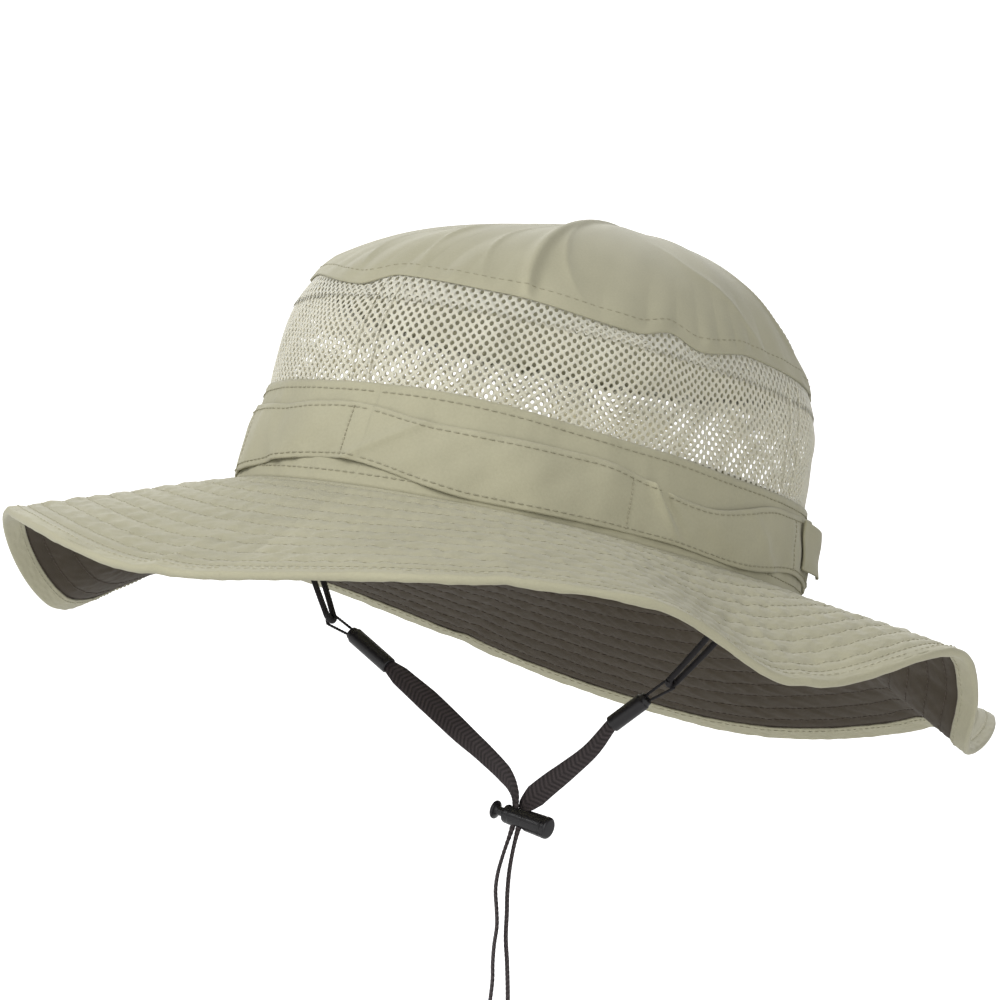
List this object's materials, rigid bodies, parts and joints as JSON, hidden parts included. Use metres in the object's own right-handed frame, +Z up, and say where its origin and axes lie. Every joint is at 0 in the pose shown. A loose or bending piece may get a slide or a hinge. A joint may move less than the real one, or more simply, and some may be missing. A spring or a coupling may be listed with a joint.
{
  "type": "boonie hat",
  "caption": "Khaki boonie hat with a see-through mesh crown wall, loop band, wide quilted brim with a dark underside, and a black chin strap with a spring cord lock.",
  "frame": {"origin": "middle of the head opening, level with the seam between crown and brim", "axes": "+Z up through the crown, front of the hat on -Y, the wearer's left on +X"},
  "size_m": [0.3126, 0.3371, 0.3263],
  "materials": {
    "cloth": "fine plain weave, matt with a faint sheen",
    "mesh": "knitted mesh with round holes",
    "dark_cloth": "matt dark brown weave",
    "cord": "flat braid and thin round cord",
    "plastic": "satin moulded plastic",
    "spring_wire": "bright drawn wire"
  },
  "bodies": {
    "hat": {"brim_binding": "cloth", "brim_stiffener": "cloth", "brim_top_cloth": "cloth", "brim_under_cloth": "dark_cloth", "crown_base_band": "cloth", "crown_tip": "cloth", "hatband": "cloth", "hatband_end_fold": "cloth", "mesh_left_back": "mesh", "mesh_left_front": "mesh", "mesh_right_back": "mesh", "mesh_right_front": "mesh", "mesh_seam_tape_back": "mesh", "mesh_seam_tape_front": "mesh", "mesh_seam_tape_left": "mesh", "mesh_seam_tape_right": "mesh", "mesh_top_hem": "mesh", "sweatband": "cloth"},
    "chin_strap": {"anchor_cord_left": "cord", "anchor_cord_right": "cord", "link_loop_left": "cord", "link_loop_right": "cord", "sleeve_left": "plastic", "sleeve_right": "plastic", "chin_tape": "cord"},
    "cord_lock": {"cord_lock_barrel": "plastic"},
    "plunger": {"cord_lock_plunger": "plastic", "cord_lock_spring": "spring_wire"}
  },
  "joints": [
    {"name": "strap_swing", "type": "hinge", "parent": "hat", "child": "chin_strap", "pos_m": [0, 0, 0], "axis": [1, 0, 0], "range_deg": [-60, 60]},
    {"name": "lock_slide", "type": "slide", "parent": "chin_strap", "child": "cord_lock", "axis": [0.1392, 0, -0.9903], "range_m": [0, 0.06]},
    {"name": "plunger_press", "type": "slide", "parent": "cord_lock", "child": "plunger", "axis": [0.9888, 0, -0.1495], "range_m": [0, 0.002], "stiffness_N_per_m": 400}
  ]
}
